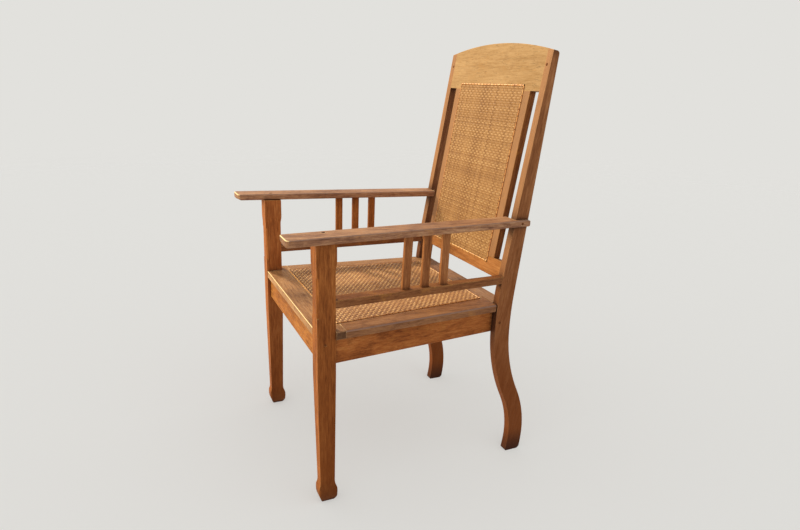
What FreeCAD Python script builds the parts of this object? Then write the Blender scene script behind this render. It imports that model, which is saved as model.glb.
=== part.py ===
import FreeCAD, Part
import math
import os

# A cane-seated armchair with a raked cane back, made of sawn boards with mortise and tenon joints.
# Lengths are millimetres. +Z is up, the sitter looks along -Y and the sitter's left hand is at +X.
# Pieces are laid out from the front face of the front legs (y = 0), the centre plane (x = 0) and the
# floor (z = 0). At the end they all move together, so that the origin is under the chair's middle.

Vec = FreeCAD.Vector

# Front legs
leg_splay = 27.5             # a front leg's outer face stands this far outside the back post's
leg_width = 38.5
leg_depth = 43.5
leg_taper_drop = 30.5        # the leg starts to taper this far below the aprons
ankle_height = 57.0
ankle_inner_set = 13.0
ankle_outer_set = 0.5
ankle_front_set = 4.0
ankle_rear_set = 3.5
foot_swell_height = 26.0
foot_front_swell_height = 33.0
foot_side_swell = 5.25
foot_front_swell = 4.0
foot_rear_swell = 6.5
foot_side_undercut = 9.5
foot_front_undercut = 9.5
foot_rear_undercut = 8.5
foot_corner_round = 9.0
capital_drop = 88.0          # from the arm's top at its front end to the capital's bottom
capital_height = 24.0
capital_swell = 2.5
capital_front_swell = 1.0
leg_chamfer = 4.5
leg_chamfer_above_seat = 35.0
leg_chamfer_below_capital = 10.0

# Back posts
post_outer = 246.0           # from the centre plane to a post's outer face
post_width = 22.0
knee_front = 484.5           # from the leg fronts to the post's front edge at the seat
post_depth = 43.5
knee_drop = 77.0             # from the seat's top down to the knee
calf_height = 61.0
calf_kick = 68.0             # how far the calf stands behind the knee
knee_curve_share = 0.62      # the knee's part of the two radii of the lower curve
back_rake = 9.58             # degrees from upright
rake_blend = 60.0            # length of each leg of the bend at the seat
post_top_depth = 16.5
rear_bend_drop = 23.0        # the rear edge bends this much below the seat
rear_foot_front_round = 4.0
rear_foot_rear_round = 11.0
post_top_round = 7.0

# Back frame, measured up the rake from the height of the seat
crest_top = 657.0
crest_rise = 24.0            # the arc's rise between the posts' outer faces
crest_height = 120.5
back_rail_bottom = 63.0
back_rail_height = 46.5
back_board_thickness = 18.0
back_slot_width = 36.0       # open slot between a post and a muntin
muntin_width = 40.0
back_cane_margin = 27.5      # bare width of a muntin beside the cane
back_cane_on_rail = 18.0     # how far the cane runs onto the lower rail
back_cane_on_crest = 15.0

# Seat
seat_height = 440.0
seat_board_thickness = 19.5
seat_overhang_front = 8.5    # beyond the legs' outer faces
seat_inset_rear = 4.0        # inside the posts' outer faces
seat_front_set = 1.0
front_board_behind_leg = 23.5
seat_behind_knee = 38.5      # the rear board ends this far behind the posts' front edges
seat_side_behind_knee = 19.5
seat_cane_on_front = 7.0     # how far the cane runs onto the front board
seat_cane_before_knee = 12.5
seat_cane_margin_front = 52.0
seat_cane_margin_rear = 54.0
seat_board_lap = 15.0        # width of board under the edge of the cane
seat_edge_round = 4.5
seat_under_round = 3.0
seat_corner_round = 5.0

# Aprons
apron_height = 60.0
apron_thickness = 20.0
front_apron_set = 9.0
side_apron_inset = 4.5       # from a leg's outer face
side_apron_step = 1.8        # the apron stands this far outside the post's inner face
side_apron_behind_knee = 41.5
rear_apron_behind_knee = 35.5
rear_apron_thickness = 18.0

# Arms
arm_overhang = 73.0          # the arm's front end stands this far before the legs
arm_rise = 227.0             # from the seat's top to the arm's top at its front end
arm_slope = 0.7              # degrees, down to the rear
arm_thickness = 17.0
arm_beyond_leg = 36.5        # from a leg's outer face to the arm's outer edge
arm_lap_thickness = 9.0      # the lap outside the post
arm_width_front = 63.0
arm_width_rear = 60.0
arm_end_behind_post = 38.5   # from the post's front edge to the end of the lap
arm_nose_round = 3.0
arm_nose_undercut = 12.0     # at the inner edge, none at the outer one
arm_corner_round = 9.0
arm_end_round = 8.0          # in the side view
arm_tip_round = 5.0
arm_edge_round = 2.5
arm_under_round = 4.5

# Rails and slats under the arms
side_rail_above_seat = 55.0
side_rail_height = 18.0
slat_first = 224.0
slat_pitch = 51.0
slat_count = 3
slat_width = 19.5
slat_thickness = 9.0
slat_top_shift = 3.0

# Cane and its edging
cane_groove_width = 6.5
cane_groove_depth = 5.5
cane_proud = 1.5
cane_fold = 1.4              # thickness of the cane where it turns down into the groove
cane_fold_gap = 1.0          # between the folded edge and the bottom of the groove
edging_proud = 2.2
edging_round_share = 0.4     # of the edging's width

# Joints
tenon_thickness = 10.0
leg_tenon_length = 17.0
front_tenon_length = 20.0
tenon_shoulder = 6.0
thin_tenon = 6.0
post_tenon_length = 14.0
muntin_tenon_length = 12.0
board_tenon_length = 12.0
board_tenon_width = 30.0
rail_tenon_length = 15.0
apron_tongue_length = 8.0
top_tenon_side = 18.0
top_tenon_length = 10.0
slat_tenon_length = 7.0
slat_shoulder = 1.5
joint_clearance = 0.15
mortise_end_gap = 0.8
board_clearance = 0.2

# Pegs
peg_radius = 3.5
small_peg_radius = 2.5
plug_radius = 4.5
peg_proud = 0.4
peg_length = 14.0
apron_peg_length = 34.0
plug_length = 34.0
lap_peg_length = 24.0
peg_clearance = 0.05
crest_peg_drop = 58.0        # below the top of the crest
apron_peg_behind_knee = 12.0
apron_peg_above_apron = 29.0
leg_peg_below_seat = 10.0
lap_peg_before_end = 27.0

arris = 0.8                  # small bevel on plain sawn edges
overrun = 30.0               # how far every cutter runs past what it cuts
touch = 0.01                 # closest distance that counts as the same place

# Sizes that follow from the ones above
rake = math.radians(back_rake)
leg_outer = post_outer + leg_splay
leg_inner = leg_outer - leg_width
post_inner = post_outer - post_width
seat_under = seat_height - seat_board_thickness
apron_bottom = seat_under - apron_height
leg_taper_height = apron_bottom - leg_taper_drop
knee_height = seat_height - knee_drop
knee_rear = knee_front + post_depth
arm_front = -arm_overhang
arm_front_top = seat_height + arm_rise
arm_rear = knee_front + arm_rise * math.tan(rake) + arm_end_behind_post
arm_outer_front = leg_outer + arm_beyond_leg
arm_outer_rear = post_outer + arm_lap_thickness
arm_inner_front = arm_outer_front - arm_width_front
arm_inner_rear = arm_outer_rear - arm_width_rear
capital_bottom = arm_front_top - capital_drop
capital_top = capital_bottom + capital_height
leg_chamfer_bottom = seat_height + leg_chamfer_above_seat
leg_chamfer_top = capital_bottom - leg_chamfer_below_capital
side_rail_bottom = seat_height + side_rail_above_seat
side_rail_top = side_rail_bottom + side_rail_height
crest_bottom = crest_top - crest_height
back_rail_top = back_rail_bottom + back_rail_height
muntin_outer = post_inner - back_slot_width
back_cane_half_width = muntin_outer - back_cane_margin
back_cane_bottom = back_rail_top - back_cane_on_rail
back_cane_top = crest_bottom + back_cane_on_crest
seat_half_width_front = leg_outer + seat_overhang_front
seat_half_width_rear = post_outer - seat_inset_rear
front_board_rear = leg_depth + front_board_behind_leg
seat_rear = knee_front + seat_behind_knee
seat_cane_front = front_board_rear - seat_cane_on_front
seat_cane_rear = knee_front - seat_cane_before_knee
seat_cane_half_front = seat_half_width_front - seat_cane_margin_front
seat_cane_half_rear = seat_half_width_rear - seat_cane_margin_rear
side_apron_rear = knee_front + side_apron_behind_knee
rear_apron_rear = knee_front + rear_apron_behind_knee
cane_fold_depth = cane_groove_depth - cane_fold_gap
edging_inset = cane_groove_width - cane_fold - joint_clearance
edging_round = (edging_inset - joint_clearance) * edging_round_share


def flat_face(corners):
    """Face inside straight lines from corner to corner."""
    return Part.Face(Part.makePolygon(corners + corners[:1]))


def edged_face(edges):
    """Face inside lines and arcs that join end to end."""
    return Part.Face(Part.Wire(Part.sortEdges(edges)[0]))


def line(start, end):
    return Part.LineSegment(start, end).toShape()


def arc(start, middle, end):
    return Part.Arc(start, middle, end).toShape()


def plan(points, bottom, top):
    """Plan outline of (x, y) points, raised from one height to another."""
    corners = [Vec(x, y, bottom) for x, y in points]
    return flat_face(corners).extrude(Vec(0, 0, top - bottom))


def block(x_low, x_high, y_low, y_high, z_low, z_high):
    return Part.makeBox(x_high - x_low, y_high - y_low, z_high - z_low, Vec(x_low, y_low, z_low))


def plan_line(y_start, x_start, y_end, x_end):
    """The x of a straight line in plan, as a function of y."""
    def x_at(y):
        return x_start + (x_end - x_start) * (y - y_start) / (y_end - y_start)
    return x_at


def moved(x_at, shift):
    """A plan line shifted sideways."""
    def x_beside(y):
        return x_at(y) + shift
    return x_beside


def strip(outer, inner, y_low, y_high, bottom, top):
    """Board between two plan lines and two straight ends."""
    points = [(outer(y_low), y_low), (outer(y_high), y_high)]
    points += [(inner(y_high), y_high), (inner(y_low), y_low)]
    return plan(points, bottom, top)


def mirrored(shape):
    return shape.mirror(Vec(0, 0, 0), Vec(1, 0, 0))


def edges_where(shape, test):
    """Edges whose ends and middle all pass a test of their place."""
    chosen = []
    for edge in shape.Edges:
        middle = edge.valueAt((edge.FirstParameter + edge.LastParameter) / 2)
        places = [vertex.Point for vertex in edge.Vertexes] + [middle]
        if all(test(place) for place in places):
            chosen.append(edge)
    return chosen


def near(value, target):
    return abs(value - target) < touch


def front_view(across, height):
    return Vec(across, 0, height)


def side_view(across, height):
    return Vec(0, across, height)


def swing(view, start, end):
    """Arc that leaves the upright at start and swings away from it to end."""
    across = end[0] - start[0]
    rise = end[1] - start[1]
    radius = (across ** 2 + rise ** 2) / (2 * abs(across))
    bow = radius - math.sqrt(radius ** 2 - (rise / 2) ** 2)
    middle = (start[0] + math.copysign(bow, across), start[1] + rise / 2)
    return arc(view(*start), view(*middle), view(*end))


def leg_side(view, outward, side):
    """One side of a front leg's outline, from the floor to above the arm."""
    face, ankle, widest, floor, swell_height, head = side
    throat = ((ankle + widest) / 2, (ankle_height + swell_height) / 2)
    neck = ((face + head) / 2, (capital_bottom + capital_top) / 2)
    return [
        swing(view, (widest, swell_height), (floor, 0)),
        swing(view, (widest, swell_height), throat),
        swing(view, (ankle, ankle_height), throat),
        line(view(ankle, ankle_height), view(face, leg_taper_height)),
        line(view(face, leg_taper_height), view(face, capital_bottom)),
        swing(view, (face, capital_bottom), neck),
        swing(view, (head, capital_top), neck),
        line(view(head, capital_top), view(head, arm_front_top)),
    ]


def leg_outline(view, low, high):
    """Closed outline from the numbers of the two sides of a leg."""
    edges = leg_side(view, -1, low) + leg_side(view, 1, high)
    edges.append(line(view(low[3], 0), view(high[3], 0)))
    edges.append(line(view(low[5], arm_front_top), view(high[5], arm_front_top)))
    return edged_face(edges)


def side_numbers(face, outward, ankle_set, swell, undercut, swell_height, head_swell):
    """Face, ankle, widest place, floor, height of the widest place and head of one side of a leg."""
    ankle = face - outward * ankle_set
    widest = ankle + outward * swell
    return face, ankle, widest, widest - outward * undercut, swell_height, face + outward * head_swell


def foot_corners(inner, outer, front, rear):
    """Cutter that rounds the upright corners of a foot where it swells."""
    widest = block(inner - arris, outer + arris, front - arris, rear + arris, -overrun, ankle_height)
    upright = [e for e in widest.Edges if e.BoundBox.ZLength > ankle_height]
    sides = (inner - overrun, outer + overrun, front - overrun, rear + overrun)
    return block(*sides, -overrun, ankle_height).cut(widest.makeFillet(foot_corner_round, upright))


def leg_blank():
    """The left leg sawn to its front and side outlines."""
    across = (foot_side_swell, foot_side_undercut, foot_swell_height, capital_swell)
    ahead = (foot_front_swell, foot_front_undercut, foot_front_swell_height, capital_front_swell)
    behind = (foot_rear_swell, foot_rear_undercut, foot_swell_height, capital_swell)
    inner = side_numbers(leg_inner, -1, ankle_inner_set, *across)
    outer = side_numbers(leg_outer, 1, ankle_outer_set, *across)
    front = side_numbers(0, -1, ankle_front_set, *ahead)
    rear = side_numbers(leg_depth, 1, ankle_rear_set, *behind)
    seen_from_front = leg_outline(front_view, inner, outer)
    seen_from_side = leg_outline(side_view, front, rear)
    seen_from_front.translate(Vec(0, -overrun, 0))
    sawn_once = seen_from_front.extrude(Vec(0, leg_depth + 2 * overrun, 0))
    sawn_twice = sawn_once.common(seen_from_side.extrude(Vec(leg_outer + overrun, 0, 0)))
    return sawn_twice.cut(foot_corners(inner[2], outer[2], front[2], rear[2]))


def leg_chamfers():
    """Cutters for the stopped chamfers on the two front corners of a leg."""
    cutters = []
    for corner, inward in ((leg_inner, leg_chamfer), (leg_outer, -leg_chamfer)):
        outside = (corner - inward, -leg_chamfer)
        along_front = (corner + 2 * inward, -leg_chamfer)
        along_side = (corner - inward, 2 * leg_chamfer)
        cutters.append(plan([outside, along_front, along_side], leg_chamfer_bottom, leg_chamfer_top))
    return cutters


def back_frame_place(shape):
    """Carry a piece from the drawing of the back (x, depth, up the rake) to its raked place."""
    leaned = shape.copy()
    turn = FreeCAD.Rotation(Vec(1, 0, 0), -back_rake)
    leaned.Placement = FreeCAD.Placement(Vec(0, knee_front, seat_height), turn).multiply(shape.Placement)
    return leaned


def over_crest_arc():
    """Everything over the arc that runs along the crest rail and both posts."""
    radius = (post_outer ** 2 + crest_rise ** 2) / (2 * crest_rise)
    reach = post_outer + overrun
    end_drop = radius - math.sqrt(radius ** 2 - reach ** 2)
    left = Vec(-reach, -overrun, crest_top - end_drop)
    right = Vec(reach, -overrun, crest_top - end_drop)
    left_high = Vec(-reach, -overrun, crest_top + overrun)
    right_high = Vec(reach, -overrun, crest_top + overrun)
    edges = [arc(left, Vec(0, -overrun, crest_top), right), line(left, left_high)]
    edges += [line(left_high, right_high), line(right_high, right)]
    return edged_face(edges).extrude(Vec(0, post_depth + 2 * overrun, 0))


def on_circle(centre, radius, angle):
    """Point of the side view on a circle, at an angle in radians."""
    return side_view(centre[0] + radius * math.cos(angle), centre[1] + radius * math.sin(angle))


def bend(corner, below, above, reach):
    """Arc that rounds a corner of the post's outline, and its two ends."""
    start = corner + (below - corner).normalize() * reach
    end = corner + (above - corner).normalize() * reach
    half_turn = (math.pi - (below - corner).getAngle(above - corner)) / 2
    radius = reach / math.tan(half_turn)
    inward = ((start + end) / 2 - corner).normalize()
    middle = corner + inward * (radius / math.cos(half_turn) - radius)
    return start, middle, end


def post_outline():
    """Side outline of a back post: raked above the seat, S-curved below it."""
    height = knee_height - calf_height
    turn = 2 * math.atan(calf_kick / height)
    radii = height / math.sin(turn)
    knee_radius = radii * knee_curve_share
    calf_radius = radii - knee_radius
    knee_centre = (knee_front + post_depth / 2 + knee_radius, knee_height)
    calf_centre = (knee_front + post_depth / 2 + calf_kick - calf_radius, calf_height)
    top = seat_height + crest_top
    top_front = side_view(knee_front + (top - seat_height) * math.tan(rake), top)
    top_rear = top_front + Vec(0, post_top_depth, 0)
    front_corner = side_view(knee_front, seat_height)
    rear_corner = side_view(knee_rear, seat_height - rear_bend_drop)
    half = post_depth / 2
    edges = []
    ends = []
    for calf, knee, corner, above in (
        (calf_radius - half, knee_radius + half, front_corner, top_front),
        (calf_radius + half, knee_radius - half, rear_corner, top_rear),
    ):
        floor_angle = -math.asin(calf_height / calf)
        floor = on_circle(calf_centre, calf, floor_angle)
        reverse = on_circle(calf_centre, calf, turn)
        edges.append(arc(floor, on_circle(calf_centre, calf, (floor_angle + turn) / 2), reverse))
        knee_end = on_circle(knee_centre, knee, math.pi)
        edges.append(arc(reverse, on_circle(knee_centre, knee, math.pi + turn / 2), knee_end))
        reach = min(rake_blend, corner.z - knee_height)
        bend_start, bend_middle, bend_end = bend(corner, knee_end, above, reach)
        if (bend_start - knee_end).Length > touch:
            edges.append(line(knee_end, bend_start))
        edges.append(arc(bend_start, bend_middle, bend_end))
        edges.append(line(bend_end, above))
        ends.append((floor, above))
    edges.append(line(ends[0][0], ends[1][0]))
    edges.append(line(ends[0][1], ends[1][1]))
    return edged_face(edges)


def post_prism(x_low, x_high):
    """The post's side outline, carried across from one x to another."""
    outline = post_outline()
    outline.translate(Vec(x_low, 0, 0))
    return outline.extrude(Vec(x_high - x_low, 0, 0))


def post_blank():
    """The left post with its top cut to the crest's arc and its corners eased."""
    post = post_prism(post_inner, post_outer).cut(back_frame_place(over_crest_arc()))
    foot = edges_where(post, lambda p: near(p.z, 0))
    across = [e for e in foot if near(e.BoundBox.XLength, post_width)]
    across.sort(key=lambda e: e.BoundBox.YMin)
    post = post.makeFillet(rear_foot_front_round, across[:1])
    foot = edges_where(post, lambda p: near(p.z, 0))
    across = [e for e in foot if near(e.BoundBox.XLength, post_width)]
    across.sort(key=lambda e: e.BoundBox.YMin)
    post = post.makeFillet(rear_foot_rear_round, across[-1:])
    tips = [e for e in post.Edges if near(e.BoundBox.XLength, post_width)]
    tips.sort(key=lambda e: e.BoundBox.YMax)
    return post.makeFillet(post_top_round, tips[-1:])


def sloped(shape):
    """Carry a piece drawn flat, with the arm's front end and top at nought, to the arm's slope."""
    placed = shape.copy()
    turn = FreeCAD.Rotation(Vec(1, 0, 0), -arm_slope)
    placed.Placement = FreeCAD.Placement(Vec(0, arm_front, arm_front_top), turn)
    return placed


def arm_layer(low, high):
    """Slab over the whole chair that follows the arms, between two depths under their top face."""
    reach = arm_outer_front + overrun
    return sloped(block(-reach, reach, -overrun, arm_rear - arm_front + overrun, -high, -low))


def nose_cutter(below):
    """Takes off the underside of the arm's front end, most at the inner edge and nothing at the outer."""
    curve = swing(side_view, (0, -arm_nose_round), (arm_nose_undercut, below))
    corners = [(arm_nose_undercut, below), (arm_nose_undercut, below - overrun)]
    corners += [(-overrun, below - overrun), (-overrun, -arm_nose_round), (0, -arm_nose_round)]
    places = [side_view(*corner) for corner in corners]
    section = edged_face([curve] + [line(*pair) for pair in zip(places, places[1:])])
    skew_share = arm_nose_undercut / arm_width_front
    section.translate(Vec(arm_inner_front - overrun, overrun * skew_share, 0))
    reach = arm_width_front + 2 * overrun
    return section.extrude(Vec(reach, -reach * skew_share, 0))


def end_cutter(length, below):
    """Takes off everything outside the rounded rear end of the arm."""
    high = side_view(length - arm_end_round, 0)
    low = side_view(length - arm_end_round, below)
    curve = arc(high, side_view(length, below / 2), low)
    up = Vec(0, 0, overrun)
    back = Vec(0, 2 * overrun, 0)
    places = [low, low - up, low - up + back, high + up + back, high + up, high]
    section = edged_face([curve] + [line(*pair) for pair in zip(places, places[1:])])
    return section.extrude(Vec(arm_outer_front + overrun, 0, 0))


def arm_blank():
    """The left arm, cut round the back post."""
    length = arm_rear - arm_front
    outer = plan_line(0, arm_outer_front, length, arm_outer_rear)
    inner = plan_line(0, arm_inner_front, length, arm_inner_rear)
    notch = post_front_at(arm_front_top) + post_top_depth / 2 - arm_front
    points = [(inner(0), 0), (outer(0), 0), (outer(length), length)]
    points += [(post_outer, length), (post_outer, notch), (inner(notch), notch)]
    below = -arm_thickness
    plank = plan(points, below, 0)
    nose_edges = edges_where(plank, lambda p: near(p.y, 0))
    upright = [e for e in nose_edges if near(e.BoundBox.ZLength, arm_thickness)]
    plank = plank.makeFillet(arm_corner_round, upright)
    tip = edges_where(plank, lambda p: near(p.y, length) and p.x > outer(length) - touch)
    plank = plank.makeFillet(arm_tip_round, [e for e in tip if near(e.BoundBox.ZLength, arm_thickness)])
    rim = edges_where(plank, lambda p: near(p.z, 0))
    rim = [e for e in rim if e.BoundBox.XMax > post_outer + touch or e.BoundBox.YMin < notch - overrun]
    plank = plank.makeFillet(arm_edge_round, rim)
    long_edges = [e for e in edges_where(plank, lambda p: near(p.z, below)) if e.Length > length / 2]
    plank = plank.makeFillet(arm_under_round, long_edges)
    return sloped(less(plank, [nose_cutter(below), end_cutter(length, below)])).cut(post_prism(0, post_outer))


def post_front_at(height):
    """The y of the back's front face at a height above the bend."""
    return knee_front + (height - seat_height) * math.tan(rake)


def slat_middles(number):
    """Middle of a slat on the rail and, straight above, under the arm."""
    low_y = slat_first + number * slat_pitch
    high_y = low_y + slat_top_shift
    rail_middle = (side_rail_outer(low_y) + side_rail_inner(low_y)) / 2
    arm_middle = (arm_outer_line(high_y) + arm_inner_line(high_y)) / 2
    return Vec(rail_middle, low_y, side_rail_top), Vec(arm_middle, high_y, arm_front_top)


def slat_prism(number, thickness, width, below):
    """Leaning stick of one slat, from below the rail's top to above the arm."""
    foot, head = slat_middles(number)
    lean = head - foot
    start = foot - lean * (below / lean.z)
    corners = []
    for across, along in ((-1, -1), (1, -1), (1, 1), (-1, 1)):
        corners.append(start + Vec(across * thickness / 2, along * width / 2, 0))
    return flat_face(corners).extrude(head - start)


def slat_tenons(number, grow, length):
    """Tenons at both ends of a slat, grown all round by a clearance."""
    thickness = slat_thickness - 2 * slat_shoulder + 2 * grow
    width = slat_width - 2 * slat_shoulder + 2 * grow
    stick = slat_prism(number, thickness, width, length)
    return stick.cut(arm_layer(-overrun * 2, arm_thickness - length))


def seat_cane_points(inset):
    """Plan corners of the seat's cane, drawn in from its edge by an inset."""
    edge = plan_line(seat_cane_front, seat_cane_half_front, seat_cane_rear, seat_cane_half_rear)
    run = seat_cane_rear - seat_cane_front
    stretch = math.hypot(run, seat_cane_half_front - seat_cane_half_rear) / run
    front = seat_cane_front + inset
    rear = seat_cane_rear - inset
    front_half = edge(front) - inset * stretch
    rear_half = edge(rear) - inset * stretch
    return [(-front_half, front), (front_half, front), (rear_half, rear), (-rear_half, rear)]


def back_cane_corners(inset, depth):
    """Corners of the back's cane in the drawing of the back, drawn in from its edge by an inset."""
    half = back_cane_half_width - inset
    low = back_cane_bottom + inset
    high = back_cane_top - inset
    return [Vec(-half, depth, low), Vec(half, depth, low), Vec(half, depth, high), Vec(-half, depth, high)]


def edging(outer, inner, rise):
    """Four mitred lengths of cane edging with rounded top corners."""
    lengths = []
    for number in range(len(outer)):
        following = (number + 1) % len(outer)
        corners = [outer[number], outer[following], inner[following], inner[number]]
        length = flat_face(corners).extrude(rise)
        ends = [corner + rise for corner in corners]
        sides = ((ends[0], ends[1]), (ends[2], ends[3]))
        rounded = []
        for edge in length.Edges:
            tips = [vertex.Point for vertex in edge.Vertexes]
            for pair in sides:
                if all(any(tip.distanceToPoint(end) < touch for end in pair) for tip in tips):
                    rounded.append(edge)
        lengths.append(length.makeFillet(edging_round, rounded))
    return lengths


def ring(outer, inner, rise):
    """Frame-shaped cutter between two outlines."""
    return flat_face(outer).extrude(rise).cut(flat_face(inner).extrude(rise))


def eased(shape, bevel=arris):
    """A plain board with its long edges slightly bevelled."""
    long_edges = [edge for edge in shape.Edges if edge.Length > shape.BoundBox.DiagonalLength / 2]
    return shape.makeChamfer(bevel, long_edges)


def peg(start, direction, length, radius):
    return Part.makeCylinder(radius, length, start, direction)


def back_peg_starts(grow):
    """Pegs through the crest rail's tenons, from the front of the posts."""
    pegs = []
    for side in (-1, 1):
        start = Vec(side * (post_inner + post_tenon_length / 2), -peg_proud, crest_top - crest_peg_drop)
        pegs.append(back_frame_place(peg(start, Vec(0, 1, 0), peg_length, peg_radius + grow)))
    return pegs


def side_pegs(start, direction, length, radius):
    """A peg on the left and its mirror on the right."""
    left = peg(start, direction, length, radius)
    return [left, mirrored(left)]


def all_pegs(grow):
    """Every peg and plug, by the name of its node."""
    inward = Vec(-1, 0, 0)
    apron_y = knee_front + apron_peg_behind_knee
    apron_place = Vec(post_outer + peg_proud, apron_y, apron_bottom + apron_peg_above_apron)
    leg_y = front_apron_set + apron_thickness / 2
    leg_place = Vec(leg_outer + peg_proud, leg_y, seat_under - leg_peg_below_seat)
    lap_y = arm_rear - lap_peg_before_end
    lap_z = arm_front_top - arm_thickness / 2 - (lap_y - arm_front) * math.tan(math.radians(arm_slope))
    lap_place = Vec(arm_outer_line(lap_y) + peg_proud, lap_y, lap_z)
    plug_y = leg_depth / 2
    plug_top = arm_front_top - (plug_y - arm_front) * math.tan(math.radians(arm_slope))
    plug_place = Vec(leg_outer - leg_width / 2, plug_y, plug_top + peg_proud)
    return {
        "crest_pegs": back_peg_starts(grow),
        "apron_pegs": side_pegs(apron_place, inward, apron_peg_length, peg_radius + grow),
        "front_leg_pegs": side_pegs(leg_place, inward, leg_width - peg_length, small_peg_radius + grow),
        "arm_lap_pegs": side_pegs(lap_place, inward, lap_peg_length, peg_radius + grow),
        "arm_top_plugs": side_pegs(plug_place, Vec(0, 0, -1), plug_length, plug_radius + grow),
    }


def less(shape, cutters):
    """A shape with every cutter taken out of it."""
    for cutter in cutters:
        shape = shape.cut(cutter)
    return shape


# Plan lines that more than one piece follows
arm_outer_line = plan_line(arm_front, arm_outer_front, arm_rear, arm_outer_rear)
arm_inner_line = plan_line(arm_front, arm_inner_front, arm_rear, arm_inner_rear)
rail_end = post_front_at(side_rail_bottom)
side_rail_outer = plan_line(leg_depth, leg_outer, rail_end, post_outer)
side_rail_inner = plan_line(leg_depth, leg_inner, rail_end, post_inner)
apron_outer = plan_line(leg_depth, leg_outer - side_apron_inset, knee_front, post_inner + side_apron_step)
apron_inner = moved(apron_outer, -apron_thickness)
seat_outer = plan_line(0, seat_half_width_front, seat_rear, seat_half_width_rear)
seat_cane_edge = plan_line(seat_cane_front, seat_cane_half_front, seat_cane_rear, seat_cane_half_rear)
seat_inner = moved(seat_cane_edge, -seat_board_lap)
wide_post = post_prism(0, seat_half_width_front + overrun)
peg_holes = [hole for group in all_pegs(peg_clearance).values() for hole in group]


def side_apron_tenon(grow, gap):
    outer = moved(apron_outer, grow - (apron_thickness - tenon_thickness) / 2)
    inner = moved(outer, -tenon_thickness - 2 * grow)
    start = leg_depth - leg_tenon_length - gap
    low = apron_bottom + tenon_shoulder - grow
    return strip(outer, inner, start, leg_depth + touch, low, seat_under - tenon_shoulder + grow)


def front_apron_tenon(grow, gap):
    middle = front_apron_set + apron_thickness / 2
    half = tenon_thickness / 2 + grow
    low = apron_bottom + tenon_shoulder - grow
    high = seat_under - tenon_shoulder + grow
    end = leg_inner + front_tenon_length + gap
    return block(leg_inner - touch, end, middle - half, middle + half, low, high)


def rear_apron_tenon(grow, gap):
    middle = rear_apron_rear - rear_apron_thickness / 2
    half = thin_tenon / 2 + grow
    shoulder = apron_inner(middle)
    low = apron_bottom + tenon_shoulder - grow
    high = seat_under - tenon_shoulder + grow
    start = shoulder - apron_tongue_length
    return block(start, shoulder + apron_tongue_length + gap, middle - half, middle + half, low, high)


def side_rail_front_tenon(grow, gap):
    outer = moved(side_rail_outer, grow - tenon_shoulder)
    inner = moved(side_rail_inner, tenon_shoulder - grow)
    start = leg_depth - rail_tenon_length - gap
    low = side_rail_bottom + slat_shoulder * 2 - grow
    return strip(outer, inner, start, leg_depth + touch, low, side_rail_top - slat_shoulder * 2 + grow)


def side_rail_rear_tenon(grow, gap):
    outer = moved(side_rail_outer, grow - tenon_shoulder)
    inner = moved(side_rail_inner, tenon_shoulder - grow)
    low = side_rail_bottom + slat_shoulder * 2 - grow
    high = side_rail_top - slat_shoulder * 2 + grow
    return strip(outer, inner, rail_end - touch, rail_end + rail_tenon_length + gap, low, high)


def leg_top_tenon(grow, length):
    middle_x = leg_outer - leg_width / 2
    middle_y = leg_depth / 2
    half = top_tenon_side / 2 + grow
    sides = (middle_x - half, middle_x + half, middle_y - half, middle_y + half)
    stick = block(*sides, capital_top, arm_front_top)
    return stick.cut(arm_layer(-overrun, arm_thickness - length))


def crest_tenon(grow, gap):
    low = crest_bottom + 2 * tenon_shoulder - grow
    high = crest_top - crest_rise - 2 * tenon_shoulder + grow
    end = post_inner + post_tenon_length + gap
    stick = block(post_inner - touch, end, thin_tenon - grow, 2 * thin_tenon + grow, low, high)
    return back_frame_place(stick)


def back_rail_tenon(grow, gap):
    low = back_rail_bottom + 2 * tenon_shoulder + slat_shoulder - grow
    high = back_rail_top - tenon_shoulder + grow
    end = post_inner + post_tenon_length + gap
    stick = block(post_inner - touch, end, thin_tenon - grow, 2 * thin_tenon + grow, low, high)
    return back_frame_place(stick)


def muntin_tenons(grow, gap):
    inner = muntin_outer - muntin_width + tenon_shoulder - grow
    outer = muntin_outer - tenon_shoulder + grow
    low = back_rail_top - muntin_tenon_length - gap
    high = crest_bottom + muntin_tenon_length + gap
    return back_frame_place(block(inner, outer, thin_tenon - grow, 2 * thin_tenon + grow, low, high))


def seat_side_tenon(grow, gap):
    """Tenon of a side board in the front board's rear edge."""
    middle = (seat_outer(front_board_rear) + seat_inner(front_board_rear)) / 2
    half = board_tenon_width / 2 + grow
    start = front_board_rear - board_tenon_length - gap
    low = seat_under + thin_tenon - grow
    high = low + thin_tenon + 2 * grow
    return block(middle - half, middle + half, start, front_board_rear + touch, low, high)


def seat_rear_tenon(grow, gap):
    """Tenon of the rear board in a side board's inner edge."""
    front = seat_cane_rear - seat_board_lap + tenon_shoulder - grow
    rear = knee_front - tenon_shoulder + grow
    shoulder = seat_inner(front)
    start = shoulder - board_tenon_length
    low = seat_under + thin_tenon - grow
    high = low + thin_tenon + 2 * grow
    return block(start, shoulder + board_tenon_length + gap, front, rear, low, high)


def seat_cane_groove():
    rise = Vec(0, 0, cane_groove_depth + overrun)
    base = seat_height - cane_groove_depth
    outer = [Vec(x, y, base) for x, y in seat_cane_points(0)]
    inner = [Vec(x, y, base) for x, y in seat_cane_points(cane_groove_width)]
    return ring(outer, inner, rise)


def back_cane_groove():
    depth = Vec(0, -cane_groove_depth - overrun, 0)
    outer = back_cane_corners(0, cane_groove_depth)
    inner = back_cane_corners(cane_groove_width, cane_groove_depth)
    return back_frame_place(ring(outer, inner, depth))


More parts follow.
